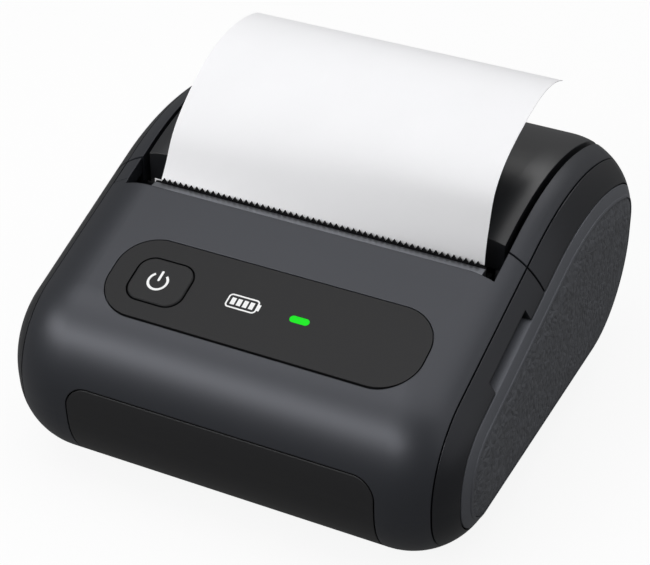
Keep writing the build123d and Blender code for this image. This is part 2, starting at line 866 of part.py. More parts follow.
with BuildPart() as main_board:
    box_between(
        (-main_board_half_width, main_board_front_y, main_board_z),
        (main_board_half_width, main_board_rear_y, board_top_z),
    )
main_board.part.label = "main_board"
export_step(main_board.part, "parts/main_board.step")

with BuildPart() as processor_chip:
    with Locations((chip_x, chip_y, board_top_z + chip_size[2] / 2)):
        Box(*chip_size)
processor_chip.part.label = "processor_chip"
export_step(processor_chip.part, "parts/processor_chip.step")

with BuildPart() as usb_socket:
    with BuildSketch(Plane.XZ.offset(-usb_front_y)):
        with Locations((usb_x, usb_middle_z)):
            SlotOverall(usb_width, usb_height)
            SlotOverall(usb_width - 2 * usb_wall, usb_height - 2 * usb_wall, mode=Mode.SUBTRACT)
    extrude(amount=-usb_depth)
    with BuildSketch(Plane.XZ.offset(-usb_front_y)):
        with Locations((usb_x, usb_middle_z)):
            SlotOverall(usb_width, usb_height)
    extrude(amount=-usb_wall)
    with Locations((usb_x, usb_front_y + usb_depth / 2, usb_middle_z)):
        Box(usb_width * usb_tongue_share, usb_depth - 2 * usb_wall, usb_height / 4)
usb_socket.part.label = "usb_socket"
export_step(usb_socket.part, "parts/usb_socket.step")

# mechanism frame, print head and tear bar


def bush_slot_block(x_low, x_high):
    """Slot from the platen upwards, curved about the hinge."""
    slot_r = bush_r + shaft_running
    with BuildPart() as block:
        rod(x_low, x_high, hinge_y, hinge_z, platen_reach + slot_r)
        rod(x_low, x_high, hinge_y, hinge_z, platen_reach - slot_r, mode=Mode.SUBTRACT)
        along = (cos(radians(platen_angle)), sin(radians(platen_angle)))
        start = (platen_y + far * along[0], platen_z + far * along[1])
        sector = [start, (hinge_y, hinge_z), (hinge_y, far), (-far, far)]
        side_block(x_low, x_high, sector, mode=Mode.INTERSECT)
        rod(x_low, x_high, platen_y, platen_z, slot_r)
    return block.part


with BuildPart() as mech_frame:
    for x in (-frame_outer_x, frame_inner_x):
        plate_high_x = x + frame_thickness
        box_between((x, frame_front_y, inner_foot_z), (plate_high_x, frame_rear_y, frame_top_z))
        box_between(
            (x, frame_front_y + frame_window_margin, frame_window_low_z),
            (plate_high_x, frame_rear_y - frame_window_margin, frame_window_top_z),
            mode=Mode.SUBTRACT,
        )
        add(bush_slot_block(x, plate_high_x), mode=Mode.SUBTRACT)
    box_between(
        (-frame_inner_x, frame_wall_y - frame_thickness, frame_wall_low_z),
        (frame_inner_x, frame_wall_y, frame_top_z),
    )
    rod(-frame_outer_x, -frame_inner_x, motor_y, motor_z, motor_boss_r + shaft_running, mode=Mode.SUBTRACT)
    rod(-shaft_end_x, -frame_inner_x, idler_y, idler_z, idler_pin_r - shaft_running)
mech_frame.part.label = "mech_frame"
export_step(mech_frame.part, "parts/mech_frame.step")

with BuildPart() as print_head:
    box_between(
        (-paper_half - head_side, head_front_y, head_low_z),
        (paper_half + head_side, head_face_y, head_top_z),
    )
print_head.part.label = "print_head"
export_step(print_head.part, "parts/print_head.step")

with BuildPart() as heat_sink:
    box_between(
        (-paper_half - head_side, sink_front_y, sink_low_z),
        (paper_half + head_side, head_front_y, head_top_z),
    )
    with Locations((0, sink_front_y, (sink_low_z + head_top_z) / 2)):
        with GridLocations(sink_fin_pitch, 1, sink_fin_count, 1):
            Box(sink_fin_pitch / 2, 2 * sink_fin_depth, head_top_z - sink_low_z, mode=Mode.SUBTRACT)
heat_sink.part.label = "heat_sink"
export_step(heat_sink.part, "parts/heat_sink.step")

with BuildPart() as head_springs:
    spring_gap = sink_front_y - frame_wall_y
    spring_low_z = frame_wall_low_z + spring_gap
    spring_high_z = frame_top_z - spring_gap
    spring_middle_z = (spring_low_z + spring_high_z) / 2
    spring_points = [
        (frame_wall_y, spring_low_z),
        (frame_wall_y + spring_thickness, spring_low_z),
        (sink_front_y, spring_middle_z),
        (frame_wall_y + spring_thickness, spring_high_z),
        (frame_wall_y, spring_high_z),
        (sink_front_y - spring_thickness, spring_middle_z),
    ]
    for x in (-spring_x - spring_width / 2, spring_x - spring_width / 2):
        side_block(x, x + spring_width, spring_points)
head_springs.part.label = "head_springs"
export_step(head_springs.part, "parts/head_springs.step")

with BuildPart() as paper_sensor:
    with Locations((sensor_x, (sink_front_y + head_front_y) / 2, sink_low_z - sensor_size[2] / 2)):
        Box(*sensor_size)
paper_sensor.part.label = "paper_sensor"
export_step(paper_sensor.part, "parts/paper_sensor.step")

with BuildPart() as tear_bar:
    bar_top_z = tear_z - bar_drop
    box_between(
        (tear_x - blade_half_width, bar_front_y, bar_top_z - bar_thickness),
        (tear_x + blade_half_width, blade_front_y, bar_top_z),
    )
    box_between(
        (tear_x - blade_half_width, blade_front_y - bar_post, frame_top_z + shaft_running),
        (tear_x + blade_half_width, blade_front_y, bar_top_z),
    )
tear_bar.part.label = "tear_bar"
export_step(tear_bar.part, "parts/tear_bar.step")

with BuildPart() as tear_blade:
    tooth_count = int(paper_width / tooth_pitch)
    teeth_half = tooth_count * tooth_pitch / 2
    outline = [(-blade_half_width, blade_low_z), (-blade_half_width, tear_z)]
    for tooth in range(tooth_count):
        outline.append((tooth * tooth_pitch - teeth_half, tear_z))
        outline.append(((tooth + 1 / 2) * tooth_pitch - teeth_half, tear_z + tooth_height))
    outline += [(teeth_half, tear_z), (blade_half_width, tear_z), (blade_half_width, blade_low_z)]
    with BuildSketch(Plane.XZ.offset(-blade_rear_y)):
        Polygon(*[(tear_x + x, z) for x, z in outline], align=None)
    extrude(amount=blade_thickness)
tear_blade.part.label = "tear_blade"
export_step(tear_blade.part, "parts/tear_blade.step")

# platen and drive train

with BuildPart() as platen_shaft:
    rod(-shaft_end_x, shaft_end_x, platen_y, platen_z, shaft_r)
platen_shaft.part.label = "platen_shaft"
export_step(platen_shaft.part, "parts/platen_shaft.step")

with BuildPart() as platen_rubber:
    rod(-paper_half - platen_overhang, paper_half + platen_overhang, platen_y, platen_z, platen_r)
    rod(-shaft_end_x, shaft_end_x, platen_y, platen_z, shaft_r, mode=Mode.SUBTRACT)
platen_rubber.part.label = "platen_rubber"
export_step(platen_rubber.part, "parts/platen_rubber.step")

with BuildPart() as platen_bushes:
    for x in (-frame_outer_x - bush_step, frame_outer_x + bush_step - bush_length):
        rod(x, x + bush_length, platen_y, platen_z, bush_r)
    rod(-shaft_end_x, shaft_end_x, platen_y, platen_z, shaft_r + shaft_running, mode=Mode.SUBTRACT)
platen_bushes.part.label = "platen_bushes"
export_step(platen_bushes.part, "parts/platen_bushes.step")

with BuildPart() as platen_gear:
    add(gear(platen_teeth, idler_angle, platen_y, platen_z, shaft_r))
platen_gear.part.label = "platen_gear"
export_step(platen_gear.part, "parts/platen_gear.step")

with BuildPart() as idler_gear:
    add(gear(idler_teeth, idler_phase, idler_y, idler_z, idler_pin_r))
idler_gear.part.label = "idler_gear"
export_step(idler_gear.part, "parts/idler_gear.step")

with BuildPart() as motor_pinion:
    add(gear(pinion_teeth, pinion_phase, motor_y, motor_z, motor_shaft_r / 2))
    rod(-shaft_end_x, motor_shaft_end_x, motor_y, motor_z, motor_shaft_r)
motor_pinion.part.label = "motor_pinion"
export_step(motor_pinion.part, "parts/motor_pinion.step")

with BuildPart() as drive_motor:
    motor_face_x = -frame_inner_x + shaft_running
    rod(motor_face_x, motor_face_x + motor_length, motor_y, motor_z, motor_r)
    rod(motor_face_x - motor_boss_height, motor_face_x, motor_y, motor_z, motor_boss_r)
    shaft_hole_r = motor_shaft_r + shaft_running
    rod(-shaft_end_x, motor_shaft_end_x + shaft_running, motor_y, motor_z, shaft_hole_r, mode=Mode.SUBTRACT)
drive_motor.part.label = "drive_motor"
export_step(drive_motor.part, "parts/drive_motor.step")

# paper bin, roll and the paper that leaves it

with BuildPart() as bin_trough:
    rod(-bin_inner_x, bin_inner_x, bin_y, bin_z, bin_r + bin_wall)
    rod(-bin_inner_x, bin_inner_x, bin_y, bin_z, bin_r, mode=Mode.SUBTRACT)
    box_between((-far, -far, bin_front_z), (far, bin_y, far), mode=Mode.SUBTRACT)
    box_between((-far, bin_y, bin_rear_z), (far, far, far), mode=Mode.SUBTRACT)


def bin_side(x_low):
    """Side wall of the paper bin with its legs."""
    with BuildPart() as plate:
        add(outline_prism(bin_wall_inset, x_low, x_low + bin_side_wall))
        wall_low_z = bin_z - bin_r - bin_wall
        box_between((-far, bin_side_front_y, wall_low_z), (far, bin_side_rear_y, far), mode=Mode.INTERSECT)
        box_between((x_low, bin_leg_front_y, inner_foot_z), (x_low + bin_side_wall, bin_leg_rear_y, bin_z))
        sweep_r = platen_reach - bush_r - bin_sweep_gap
        rod(x_low, x_low + bin_side_wall, hinge_y, hinge_z, sweep_r, mode=Mode.INTERSECT)
    return plate.part


with BuildPart() as paper_bin:
    add(bin_trough.part)
    add(bin_side(-bin_outer_x))
    add(bin_side(bin_inner_x))
paper_bin.part.label = "paper_bin"
export_step(paper_bin.part, "parts/paper_bin.step")

with BuildPart() as paper_roll:
    rod(-paper_half, paper_half, bin_y, roll_z, roll_r)
    rod(-paper_half, paper_half, bin_y, roll_z, core_r, mode=Mode.SUBTRACT)
paper_roll.part.label = "paper_roll"
export_step(paper_roll.part, "parts/paper_roll.step")

with BuildPart() as roll_core:
    rod(-paper_half, paper_half, bin_y, roll_z, core_r)
    rod(-paper_half, paper_half, bin_y, roll_z, core_bore_r, mode=Mode.SUBTRACT)
roll_core.part.label = "roll_core"
export_step(roll_core.part, "parts/roll_core.step")


def strip(points, x_low, x_high):
    """Sheet of paper from x_low to x_high along straight runs through points."""
    with BuildPart() as sheet:
        with BuildSketch(Plane.YZ.offset(x_low)) as section:
            with BuildLine() as path:
                Polyline(*points)
            trace(path.edges(), line_width=paper_thickness)
        extrude(section.sketch, amount=x_high - x_low)
    return sheet.part


web_bend_z = head_low_z + nip_gap
web_run_y = bin_y - web_y
web_run_z = roll_z - web_bend_z
web_reach = hypot(web_run_y, web_run_z)
web_roll_r = roll_r + paper_thickness
web_angle = atan2(web_run_z, web_run_y) - asin(web_roll_r / web_reach)
web_length = sqrt(web_reach**2 - web_roll_r**2)
web_start = (web_y + web_length * cos(web_angle), web_bend_z + web_length * sin(web_angle))

with BuildPart() as paper_web:
    add(strip([web_start, (web_y, web_bend_z), (web_y, tear_z - paper_thickness)], -paper_half, paper_half))
paper_web.part.label = "paper_web"
export_step(paper_web.part, "parts/paper_web.step")


def receipt_section(x, points):
    """Thin outline of the receipt's edge on one side."""
    middle = [(web_y + back, tear_z + up) for back, up in points]
    normals = []
    for index in range(len(middle)):
        before = middle[max(index - 1, 0)]
        after = middle[min(index + 1, len(middle) - 1)]
        run = hypot(after[0] - before[0], after[1] - before[1])
        normals.append(((before[1] - after[1]) / run, (after[0] - before[0]) / run))
    half = paper_thickness / 2
    upper = [(y + half * n[0], z + half * n[1]) for (y, z), n in zip(middle, normals)]
    lower = [(y - half * n[0], z - half * n[1]) for (y, z), n in zip(middle, normals)]
    with BuildSketch(Plane.YZ.offset(x)) as section:
        with BuildLine() as outline:
            Spline(*upper)
            Line(upper[-1], lower[-1])
            Spline(*reversed(lower))
            Line(lower[0], upper[0])
        make_face(outline.edges())
    return section.sketch


with BuildPart() as receipt:
    left_edge = receipt_section(tear_x - paper_half, receipt_left)
    right_edge = receipt_section(tear_x + paper_half, receipt_right)
    loft([left_edge, right_edge], ruled=True)
receipt.part.label = "receipt"
export_step(receipt.part, "parts/receipt.step")

# paper cover

cover_inner_form = case_form(cover_wall)

with BuildPart() as cover_skirts:
    for x in (-cover_skirt_x - cover_skirt, cover_skirt_x):
        add(ring_prism(cover_wall / 2, cover_skirt_inset, x, x + cover_skirt))
    add(cover_block(cover_front_y, cover_half_width), mode=Mode.INTERSECT)

with BuildPart() as cover_arms:
    for x in (-cover_skirt_x - cover_skirt, cover_skirt_x):
        rod(x, x + cover_skirt, platen_y, platen_z, arm_r)
        arm_points = [
            (platen_y - arm_r, platen_z),
            (platen_y + arm_r, platen_z),
            (platen_y + arm_r, cover_lip_low_z),
            (cover_front_y, cover_lip_low_z),
        ]
        side_block(x, x + cover_skirt, arm_points)
        arm_top = [
            (cover_front_y, cover_lip_low_z),
            (platen_y + arm_r, cover_lip_low_z),
            (platen_y + arm_r, ramp_z(platen_y) - cover_wall),
            (cover_front_y, ramp_z(cover_front_y) - cover_wall),
        ]
        side_block(x, x + cover_skirt, arm_top)

with BuildPart() as paper_cover:
    add(outer_form - cover_inner_form)
    add(cover_block(cover_front_y, cover_half_width), mode=Mode.INTERSECT)
    lip_rear_y = cover_front_y + cover_lip_wall
    add(case_inside(-cover_half_width, cover_half_width, cover_front_y, lip_rear_y, cover_lip_low_z, far))
    add(cover_skirts.part)
    add(cover_arms.part)
    rod(-barrel_half, barrel_half, hinge_y, hinge_z, hinge_barrel_r)
    add(outer_form, mode=Mode.INTERSECT)
    rod(-far, far, hinge_y, hinge_z, hinge_pin_r + hinge_running, mode=Mode.SUBTRACT)
    rod(-far, far, platen_y, platen_z, shaft_r + shaft_running, mode=Mode.SUBTRACT)
paper_cover.part.label = "paper_cover"
export_step(paper_cover.part, "parts/paper_cover.step")

with BuildPart() as cover_liner:
    liner_half = cover_skirt_x - liner_side_gap
    add(ring_prism(liner_inset, liner_inset + liner_thickness, -liner_half, liner_half))
    add(cover_block(liner_front_y, liner_half), mode=Mode.INTERSECT)
    rod(-far, far, hinge_y, hinge_z, hinge_sweep_r, mode=Mode.SUBTRACT)
cover_liner.part.label = "cover_liner"
export_step(cover_liner.part, "parts/cover_liner.step")

with BuildPart() as hinge_pin:
    rod(-hinge_pin_half, hinge_pin_half, hinge_y, hinge_z, hinge_pin_r)
hinge_pin.part.label = "hinge_pin"
export_step(hinge_pin.part, "parts/hinge_pin.step")

# feet and case screws

with BuildPart() as rubber_feet:
    for x in (-foot_x, foot_x):
        for y in (foot_front_y, foot_rear_y):
            upright(x, y, 0, base_z + foot_recess, foot_r)
rubber_feet.part.label = "rubber_feet"
export_step(rubber_feet.part, "parts/rubber_feet.step")

with BuildPart() as case_screws:
    for x in (-boss_x, boss_x):
        for y in (boss_front_y, boss_rear_y):
            upright(x, y, screw_seat_z - screw_head_height, screw_seat_z, screw_head_r)
            upright(x, y, screw_seat_z, screw_top_z, screw_shank_r)
            with Locations((x, y, screw_seat_z - screw_head_height)):
                Box(screw_head_r, screw_slot, screw_head_height, mode=Mode.SUBTRACT)
                Box(screw_slot, screw_head_r, screw_head_height, mode=Mode.SUBTRACT)
case_screws.part.label = "case_screws"
export_step(case_screws.part, "parts/case_screws.step")
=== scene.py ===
import math

import bpy
import numpy as np
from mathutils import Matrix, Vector


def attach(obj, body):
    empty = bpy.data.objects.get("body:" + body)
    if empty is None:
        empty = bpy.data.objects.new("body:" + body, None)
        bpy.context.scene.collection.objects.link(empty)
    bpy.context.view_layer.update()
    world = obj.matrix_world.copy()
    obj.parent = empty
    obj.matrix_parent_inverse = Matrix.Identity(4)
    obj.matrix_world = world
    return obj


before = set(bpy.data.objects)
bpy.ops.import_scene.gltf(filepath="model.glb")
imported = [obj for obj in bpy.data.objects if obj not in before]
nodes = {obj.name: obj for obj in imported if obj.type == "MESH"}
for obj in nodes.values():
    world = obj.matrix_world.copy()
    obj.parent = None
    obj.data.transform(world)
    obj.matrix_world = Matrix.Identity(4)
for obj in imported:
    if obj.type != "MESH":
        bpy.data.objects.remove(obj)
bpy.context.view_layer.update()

# Lengths are in metres and angles in degrees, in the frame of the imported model. The sizes of
# textures are in millimetres.


# sRGB hex colour as linear values.
def linear(text):
    values = [int(text[i : i + 2], 16) / 255 for i in (1, 3, 5)]
    return tuple(v / 12.92 if v <= 0.04045 else ((v + 0.055) / 1.055) ** 2.4 for v in values) + (1.0,)


def addNode(tree, kind, inputs=(), **settings):
    node = tree.nodes.new(kind)
    for name, value in settings.items():
        setattr(node, name, value)
    for name, value in dict(inputs).items():
        socket = node.inputs[name]
        if isinstance(value, bpy.types.NodeSocket):
            tree.links.new(value, socket)
        else:
            socket.default_value = value
    return node


# Repeats per metre of a texture whose marks are this many millimetres apart.
def perMetre(size):
    return 1000.0 / size


def newMaterial(name):
    made = bpy.data.materials.new(name)
    made.use_nodes = True
    tree = made.node_tree
    tree.nodes.clear()
    out = addNode(tree, "ShaderNodeOutputMaterial")
    place = addNode(tree, "ShaderNodeTexCoord").outputs["Object"]
    return made, tree, out, place


# Moulded grain of 0.05 mm, ground metal of 0.1 mm and paper fibre are too fine to show, so they
# are drawn as coarse as they need to be. A patch is a slow change of the colour.
textureSizes = {"mouldGrain": 0.29, "metalGrain": 0.40, "paperFibre": 0.65, "patch": 17.0}
grainDepth = 0.00005


def fineBump(tree, place, size, strength, under=None):
    noise = addNode(tree, "ShaderNodeTexNoise", {"Vector": place, "Scale": perMetre(size), "Detail": 3.0})
    inputs = {"Height": noise.outputs["Fac"], "Strength": strength, "Distance": grainDepth}
    if under is not None:
        inputs["Normal"] = under
    return addNode(tree, "ShaderNodeBump", inputs).outputs["Normal"]


def shadeRange(tree, place, colour, spread, size=textureSizes["patch"]):
    base = np.array(linear(colour)[:3])
    noise = addNode(tree, "ShaderNodeTexNoise", {"Vector": place, "Scale": perMetre(size), "Detail": 4.0})
    ramp = addNode(tree, "ShaderNodeValToRGB", {"Fac": noise.outputs["Fac"]})
    ramp.color_ramp.elements[0].position = 0.3
    ramp.color_ramp.elements[1].position = 0.7
    ramp.color_ramp.elements[0].color = (*(base * (1 - spread)), 1.0)
    ramp.color_ramp.elements[1].color = (*(base * (1 + spread)), 1.0)
    return ramp.outputs["Color"]


# Shine is the strength of the mirror part, sheen its colour, grain the strength of the fine
# texture, mottle the spread of the colour, edge the radius of the worn edge that catches light.
plasticSettings = ("colour", "roughness", "shine", "sheen", "grain", "mottle", "edge")
plastics = {
    # ABS from a spark-eroded mould: a broad satin shine, faintly blue
    "sparkedAbs": ("#1e2024", 0.40, 0.71, "#f3f5ff", 0.10, 0.03, 0.00030),
    # the same ABS in black on the outer bands and the base: darker, a little tighter in its shine
    "blackAbs": ("#101113", 0.38, 0.52, "#f3f5ff", 0.10, 0.03, 0.00030),
    # ABS from a finer mould on the cover: nearly smooth, with the sharpest reflections
    "satinAbs": ("#1c1d20", 0.34, 0.60, "#ffffff", 0.06, 0.03, 0.00030),
    # ABS in dark grey round the side inlays: lighter and duller than the bands, its colour raised as painted
    # fill light
    "greyAbsWithPaintedFill": ("#525459", 0.44, 0.50, "#f3f5ff", 0.12, 0.04, 0.00030),
    # ABS on the battery door: black and even
    "doorAbs": ("#18181a", 0.42, 0.50, "#ffffff", 0.10, 0.03, 0.00030),
    # polycarbonate film with a matt front: flat black with hardly any shine
    "mattFilm": ("#121214", 0.55, 0.38, "#ffffff", 0.04, 0.02, 0.00012),
    # the same film over the key
    "keyFilm": ("#121214", 0.52, 0.38, "#ffffff", 0.04, 0.02, 0.00012),
    # glass-filled nylon inside the case: dull black
    "filledNylon": ("#101012", 0.55, 0.50, "#ffffff", 0.10, 0.05, 0.00020),
    # cut acetal gears: smooth dense black
    "cutAcetal": ("#1b1b1d", 0.40, 0.50, "#ffffff", 0.05, 0.04, 0.00010),
    # glass-epoxy board under solder mask: green with a gloss
    "maskedBoard": ("#14532d", 0.40, 0.50, "#ffffff", 0.05, 0.10, 0.00010),
    # shrink film round the battery: slate grey with a tight shine
    "shrinkFilm": ("#2a2b30", 0.35, 0.50, "#ffffff", 0.05, 0.05, 0.00030),
    # silicone rubber ground round for the platen: dull black
    "groundRubber": ("#161616", 0.75, 0.50, "#ffffff", 0.20, 0.08, 0.00020),
    # moulded rubber feet: the dullest black
    "mouldedRubber": ("#121212", 0.80, 0.50, "#ffffff", 0.25, 0.08, 0.00030),
    # wound card of the roll's core: brown and fibrous
    "woundCard": ("#a88a62", 0.90, 0.50, "#ffffff", 0.30, 0.12, 0.00010),
    # glazed ceramic of the print head: pale grey and smooth
    "glazedCeramic": ("#8d8a80", 0.30, 0.50, "#ffffff", 0.03, 0.03, 0.00010),
    # screen-printed ink: white, thin and even
    "screenInk": ("#f0f0f0", 0.60, 0.50, "#ffffff", 0.02, 0.01, 0.00002),
}


def plastic(name, look):
    made, tree, out, place = newMaterial(name)
    softEdge = addNode(tree, "ShaderNodeBevel", {"Radius": look["edge"]}, samples=6).outputs["Normal"]
    shader = addNode(
        tree,
        "ShaderNodeBsdfPrincipled",
        {
            "Base Color": shadeRange(tree, place, look["colour"], look["mottle"]),
            "Roughness": look["roughness"],
            "Specular IOR Level": look["shine"],
            "Specular Tint": linear(look["sheen"]),
            "Normal": fineBump(tree, place, textureSizes["mouldGrain"], look["grain"], under=softEdge),
        },
    )
    tree.links.new(shader.outputs[0], out.inputs["Surface"])
    return made


metalMottle = 0.04
metals = {
    # ground steel of shafts, springs, screws and motor: bright, with soft reflections
    "groundSteel": {"colour": "#9a9b9d", "roughness": 0.32, "grain": 0.08},
    # blackened sheet steel of the mechanism frame: dark with a metal shine
    "blackenedSteel": {"colour": "#3c3d40", "roughness": 0.45, "grain": 0.08},
    # bead-blasted aluminium of the tear bar: pale grey with a soft streak of light
    "blastedAluminium": {"colour": "#8d8f94", "roughness": 0.42, "grain": 0.08},
    # etched steel blade under black oxide: nearly black teeth
    "oxideSteel": {"colour": "#1a1a1b", "roughness": 0.45, "grain": 0.05},
    # plated brass contacts: warm yellow
    "platedBrass": {"colour": "#c8a255", "roughness": 0.30, "grain": 0.05},
}


def metal(name, look):
    made, tree, out, place = newMaterial(name)
    shader = addNode(
        tree,
        "ShaderNodeBsdfPrincipled",
        {
            "Base Color": shadeRange(tree, place, look["colour"], metalMottle),
            "Metallic": 1.0,
            "Roughness": look["roughness"],
            "Normal": fineBump(tree, place, textureSizes["metalGrain"], look["grain"]),
        },
    )
    tree.links.new(shader.outputs[0], out.inputs["Surface"])
    return made


# Leather-grained vinyl, embossed with pebbles: dull dark grey that breaks up the light.
grainedVinylWithPaintedFill = {
    # the colour is set lighter than the vinyl's own, as painted fill light for the shaded sides
    "colour": "#505257",
    "spread": 0.26,
    "patch": 2.0,
    "roughness": 0.62,
    "pebble": 1.8,
    "relief": 0.0008,
    "reliefStrength": 0.9,
}


def makeGrainedVinyl(name, look):
    made, tree, out, place = newMaterial(name)
    pebbles = addNode(
        tree,
        "ShaderNodeTexVoronoi",
        {"Vector": place, "Scale": perMetre(look["pebble"]), "Randomness": 1.0},
        feature="DISTANCE_TO_EDGE",
    )
    height = {
        "Height": pebbles.outputs["Distance"],
        "Strength": look["reliefStrength"],
        "Distance": look["relief"],
    }
    inputs = {
        "Base Color": shadeRange(tree, place, look["colour"], look["spread"], look["patch"]),
        "Roughness": look["roughness"],
        "Normal": addNode(tree, "ShaderNodeBump", height).outputs["Normal"],
    }
    shader = addNode(tree, "ShaderNodeBsdfPrincipled", inputs)
    tree.links.new(shader.outputs[0], out.inputs["Surface"])
    return made


# Coated thermal paper: matt white with hardly any fibre to see.
thermalPaper = {"colour": "#f3f3f5", "spread": 0.01, "roughness": 0.6, "grain": 0.05}


def makeThermalPaper(name, look):
    made, tree, out, place = newMaterial(name)
    inputs = {
        "Base Color": shadeRange(tree, place, look["colour"], look["spread"]),
        "Roughness": look["roughness"],
        "Normal": fineBump(tree, place, textureSizes["paperFibre"], look["grain"]),
    }
    shader = addNode(tree, "ShaderNodeBsdfPrincipled", inputs)
    tree.links.new(shader.outputs[0], out.inputs["Surface"])
    return made


# The wound roll: white with faint rings at its ends. Its turns are 0.06 mm apart, drawn 0.8 mm
# apart so that they show. The axis is its place in Y and Z.
woundPaper = {
    "axis": (0.0225, 0.0341),
    "turn": 0.0008,
    "wander": 0.4,
    "shadow": "#d9d9dc",
    "edge": "#f1f1f3",
    "roughness": 0.7,
}


def makeWoundPaper(name, look):
    made, tree, out, place = newMaterial(name)
    y, z = look["axis"]
    centred = addNode(tree, "ShaderNodeMapping", {"Vector": place, "Location": (0.0, -y, -z)})
    inputs = {
        "Vector": centred.outputs["Vector"],
        "Scale": math.pi / 10 / look["turn"],  # a ring wave repeats each pi / 10 over its scale
        "Distortion": look["wander"],
        "Detail": 1.0,
    }
    turns = addNode(tree, "ShaderNodeTexWave", inputs, wave_type="RINGS", rings_direction="X")
    ramp = addNode(tree, "ShaderNodeValToRGB", {"Fac": turns.outputs["Fac"]})
    ramp.color_ramp.elements[0].color = linear(look["shadow"])
    ramp.color_ramp.elements[1].color = linear(look["edge"])
    inputs = {"Base Color": ramp.outputs["Color"], "Roughness": look["roughness"]}
    shader = addNode(tree, "ShaderNodeBsdfPrincipled", inputs)
    tree.links.new(shader.outputs[0], out.inputs["Surface"])
    return made


# Acrylic lens tinted green, lit from behind: it glows evenly and mirrors little.
tintedLens = {"tint": "#05300a", "glow": "#10f01c", "strength": 0.9, "roughness": 0.5, "shine": 0.15}


def makeTintedLens(name, look):
    made, tree, out, place = newMaterial(name)
    inputs = {
        "Base Color": linear(look["tint"]),
        "Roughness": look["roughness"],
        "Specular IOR Level": look["shine"],
        "Emission Color": linear(look["glow"]),
        "Emission Strength": look["strength"],
    }
    shader = addNode(tree, "ShaderNodeBsdfPrincipled", inputs)
    tree.links.new(shader.outputs[0], out.inputs["Surface"])
    return made


def makeMaterials():
    made = {name: plastic(name, dict(zip(plasticSettings, row))) for name, row in plastics.items()}
    made.update({name: metal(name, look) for name, look in metals.items()})
    made["grainedVinylWithPaintedFill"] = makeGrainedVinyl("grainedVinylWithPaintedFill", grainedVinylWithPaintedFill)
    made["thermalPaper"] = makeThermalPaper("thermalPaper", thermalPaper)
    made["woundPaper"] = makeWoundPaper("woundPaper", woundPaper)
    made["tintedLens"] = makeTintedLens("tintedLens", tintedLens)
    return made


# The nodes that each material covers.
materialOf = {
    "sparkedAbs": ["top_shell", "rear_shell", "cover_release"],
    "blackAbs": [
        "band_front_left",
        "band_front_right",
        "band_rear_left",
        "band_rear_right",
        "base_case",
    ],
    "satinAbs": ["paper_cover"],
    "greyAbsWithPaintedFill": ["side_panel_left", "side_panel_right"],
    "doorAbs": ["battery_door"],
    "mattFilm": ["control_panel"],
    "keyFilm": ["power_button"],
    "filledNylon": [
        "cover_liner",
        "paper_bin",
        "paper_sensor",
        "platen_bushes",
        "power_switch",
        "processor_chip",
    ],
    "cutAcetal": ["platen_gear", "idler_gear", "motor_pinion"],
    "maskedBoard": ["main_board", "key_board"],
    "shrinkFilm": ["battery_pack"],
    "groundRubber": ["platen_rubber"],
    "mouldedRubber": ["rubber_feet"],
    "woundCard": ["roll_core"],
    "glazedCeramic": ["print_head"],
    "blackenedSteel": ["mech_frame"],
    "groundSteel": ["head_springs", "platen_shaft", "hinge_pin", "case_screws", "drive_motor", "usb_socket"],
    "blastedAluminium": ["tear_bar", "heat_sink"],
    "oxideSteel": ["tear_blade"],
    "platedBrass": ["battery_contacts"],
    "grainedVinylWithPaintedFill": ["side_inlay_left", "side_inlay_right"],
    "thermalPaper": ["paper_web", "receipt"],
    "woundPaper": ["paper_roll"],
    "tintedLens": ["light_lens", "light_source"],
}


def dressNodes(made):
    for name, members in materialOf.items():
        for member in members:
            mesh = nodes[member].data
            mesh.materials.clear()
            mesh.materials.append(made[name])


# The sloping top, as the plane that the printed marks lie in: u runs right, v up the slope.
slope = {"originY": -0.0372, "originZ": 0.0465144, "angle": 19.0}


# A place u, v in the slope and lift above it, each an array, as X, Y and Z.
def onSlope(u, v, lift):
    a = math.radians(slope["angle"])
    y = slope["originY"] + v * math.cos(a) - lift * math.sin(a)
    z = slope["originZ"] + v * math.sin(a) + lift * math.cos(a)
    return np.stack([u, y, z], axis=-1)


# Mesh over a grid of points, rows by columns, joined round along its rows where closed.
def gridMesh(name, points, closed=False):
    rows, columns = points.shape[:2]
    index = np.arange(rows * columns).reshape(rows, columns)
    after = np.roll(index, -1, axis=0)
    last = rows if closed else rows - 1
    faces = np.stack([index[:last, :-1], after[:last, :-1], after[:last, 1:], index[:last, 1:]], axis=-1)
    mesh = bpy.data.meshes.new(name)
    mesh.from_pydata(points.reshape(-1, 3).tolist(), [], faces.reshape(-1, 4).tolist())
    mesh.update()
    return mesh


inkThickness = 0.00003


# Ink film over the given meshes, riding a body.
def printedMark(name, meshes, look, body):
    for number, mesh in enumerate(meshes):
        mark = bpy.data.objects.new(f"{name}{number}", mesh)
        bpy.context.collection.objects.link(mark)
        mesh.materials.append(look)
        film = mark.modifiers.new("film", "SOLIDIFY")
        film.thickness = inkThickness
        film.offset = 0.0
        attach(mark, body)


markSteps = {"arc": 61, "bar": 41, "loop": 96, "across": 3}


# Part of a flat ring: radius times cosine and sine of the angle, angle along it by radius across.
def arcBand(u, v, innerRadius, outerRadius, start, end, lift):
    angle = np.radians(np.linspace(start, end, markSteps["arc"]))[:, None]
    radius = np.linspace(innerRadius, outerRadius, markSteps["across"])[None, :]
    ringU = u + radius * np.cos(angle)
    ringV = v + radius * np.sin(angle)
    return onSlope(ringU, ringV, np.full(ringU.shape, lift))


# Upright flat bar with round ends: place along it by place across it, which narrows at the ends
# as the root of the end's radius squared less the square of the way into the end.
def roundBar(u, v, length, width, lift):
    along = np.sin(np.linspace(-math.pi / 2, math.pi / 2, markSteps["bar"]))[:, None] * length / 2
    into = np.clip(np.abs(along) - (length - width) / 2, 0, width / 2)
    halfWidth = np.sqrt(np.maximum((width / 2) ** 2 - into**2, 0))
    across = np.linspace(-1, 1, markSteps["across"])[None, :] * halfWidth
    barU, barV = np.broadcast_arrays(u - across, v + along)
    return onSlope(barU, barV, np.full(across.shape, lift))


